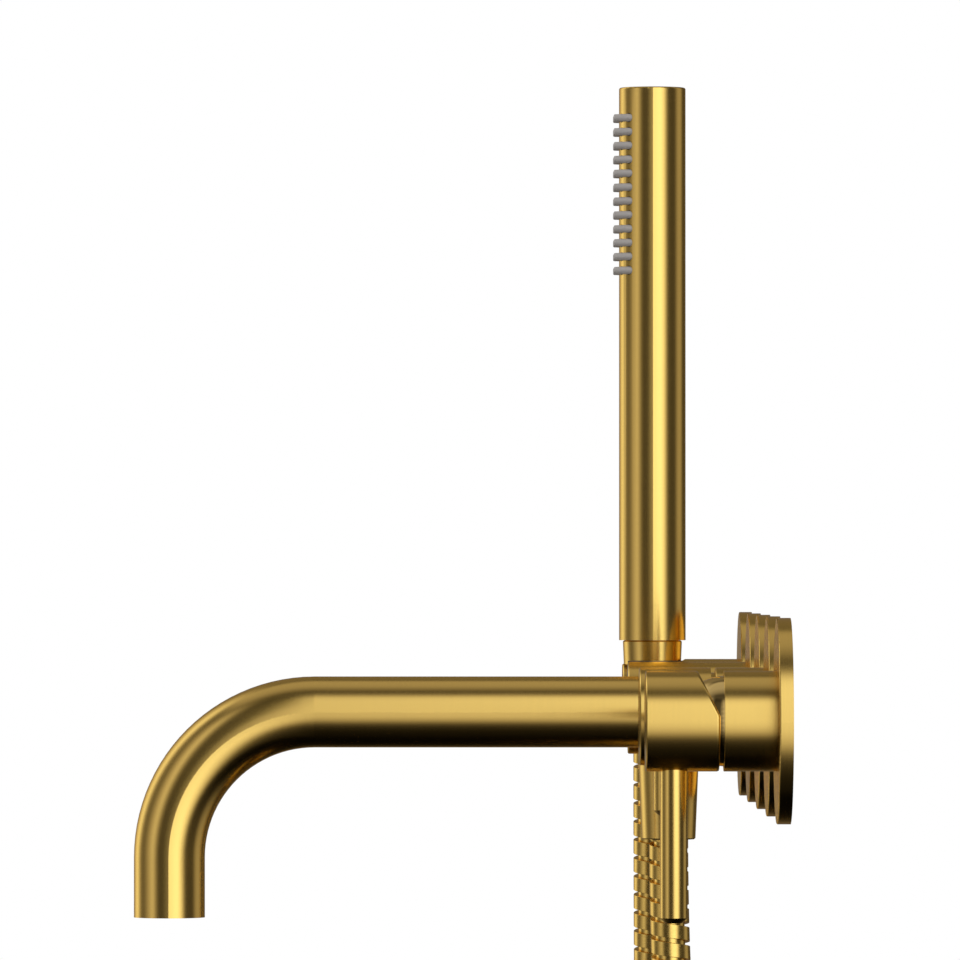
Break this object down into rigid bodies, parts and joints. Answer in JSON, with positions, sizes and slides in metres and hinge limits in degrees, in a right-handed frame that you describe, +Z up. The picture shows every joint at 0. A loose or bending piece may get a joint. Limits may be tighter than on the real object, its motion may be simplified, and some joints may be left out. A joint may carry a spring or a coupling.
{
  "type": "bath shower mixer",
  "caption": "Wall-mounted bath shower mixer set in brushed gold: lever mixer, diverter, bent spout, hose outlet, and holder with a stick hand shower on a ribbed hose.",
  "frame": {"origin": "centre of the spout's wall thread, on the finished wall", "axes": "+Y into the wall along the spout's inlet, +X along the row towards the mixer, +Z up"},
  "size_m": [0.5418, 0.2454, 0.6436],
  "materials": {
    "brushed_gold": "brushed",
    "raw_brass": "machined",
    "hose_gold": "metallised ribbed",
    "nozzle_silicone": "matt",
    "seal_rubber": "matt",
    "white_plastic": "moulded",
    "dark_plastic": "moulded",
    "valve_ceramic": "lapped",
    "screw_steel": "machined",
    "tie_strap": "woven strap"
  },
  "bodies": {
    "wall_set": {"aerator_housing": "brushed_gold", "aerator_insert": "white_plastic", "diverter_collar": "brushed_gold", "diverter_headpart": "raw_brass", "diverter_rosette": "brushed_gold", "diverter_rosette_gasket": "seal_rubber", "diverter_sleeve": "brushed_gold", "diverter_valve_body": "raw_brass", "holder_body": "brushed_gold", "holder_cup": "dark_plastic", "holder_grub_screw": "screw_steel", "holder_rosette": "brushed_gold", "holder_rosette_gasket": "seal_rubber", "holder_wall_boss": "raw_brass", "hose_coil": "hose_gold", "hose_handset_run": "hose_gold", "hose_outlet_run": "hose_gold", "hose_ties": "tie_strap", "mixer_cartridge": "dark_plastic", "mixer_cartridge_nut": "raw_brass", "mixer_dome": "brushed_gold", "mixer_fixed_disc": "valve_ceramic", "mixer_port_seals": "seal_rubber", "mixer_rosette": "brushed_gold", "mixer_rosette_gasket": "seal_rubber", "mixer_sleeve": "brushed_gold", "mixer_valve_body": "raw_brass", "outlet_body": "brushed_gold", "outlet_check_valve": "dark_plastic", "outlet_hose_ferrule": "raw_brass", "outlet_hose_nut": "brushed_gold", "outlet_nipple": "raw_brass", "outlet_rosette": "brushed_gold", "outlet_rosette_gasket": "seal_rubber", "outlet_seal_washer": "seal_rubber", "spout_grub_screw": "screw_steel", "spout_rosette": "brushed_gold", "spout_rosette_gasket": "seal_rubber", "spout_seals": "seal_rubber", "spout_socket": "raw_brass", "spout_tube": "brushed_gold"},
    "mixer_carrier": {"mixer_carrier": "dark_plastic", "mixer_pivot_pin": "screw_steel"},
    "mixer_handle": {"mixer_stem": "screw_steel", "mixer_handle": "brushed_gold", "mixer_lever_pin": "brushed_gold", "mixer_grub_screw": "screw_steel"},
    "mixer_disc": {"mixer_moving_disc": "valve_ceramic"},
    "diverter_handle": {"diverter_spindle": "raw_brass", "diverter_handle": "brushed_gold", "diverter_lever_pin": "brushed_gold", "diverter_grub_screw": "screw_steel"},
    "hose_swivel": {"handset_hose_ferrule": "raw_brass"},
    "handset": {"handset_tube": "brushed_gold", "handset_nozzles": "nozzle_silicone", "handset_spray_chamber": "white_plastic", "handset_flow_tube": "white_plastic", "handset_connector": "raw_brass", "handset_seal_washer": "seal_rubber", "handset_hose_nut": "brushed_gold"}
  },
  "joints": [
    {"name": "mixer_temperature", "type": "hinge", "parent": "wall_set", "child": "mixer_carrier", "pos_m": [0.23, -0.0242, 0], "axis": [0, 1, 0], "range_deg": [-45, 45]},
    {"name": "mixer_flow", "type": "hinge", "parent": "mixer_carrier", "child": "mixer_handle", "pos_m": [0.23, -0.0242, 0], "axis": [-1, 0, 0], "range_deg": [0, 25]},
    {"name": "mixer_disc_slide", "type": "slide", "parent": "mixer_carrier", "child": "mixer_disc", "axis": [0, 0, -1], "range_m": [0, 0.00533]},
    {"name": "diverter_turn", "type": "hinge", "parent": "wall_set", "child": "diverter_handle", "pos_m": [0.115, -0.03, 0], "axis": [0, 1, 0], "range_deg": [0, 90]},
    {"name": "handset_lift", "type": "slide", "parent": "wall_set", "child": "hose_swivel", "axis": [0, 0, 1], "range_m": [0, 0.045], "deforming": ["hose_handset_run"]},
    {"name": "handset_turn", "type": "hinge", "parent": "hose_swivel", "child": "handset", "pos_m": [-0.23, -0.0405, 0], "axis": [0, 0, 1], "continuous": true}
  ],
  "couplings": [
    {"joint": "mixer_disc_slide", "follows": "mixer_flow", "m_per_rad": 0.012204}
  ]
}
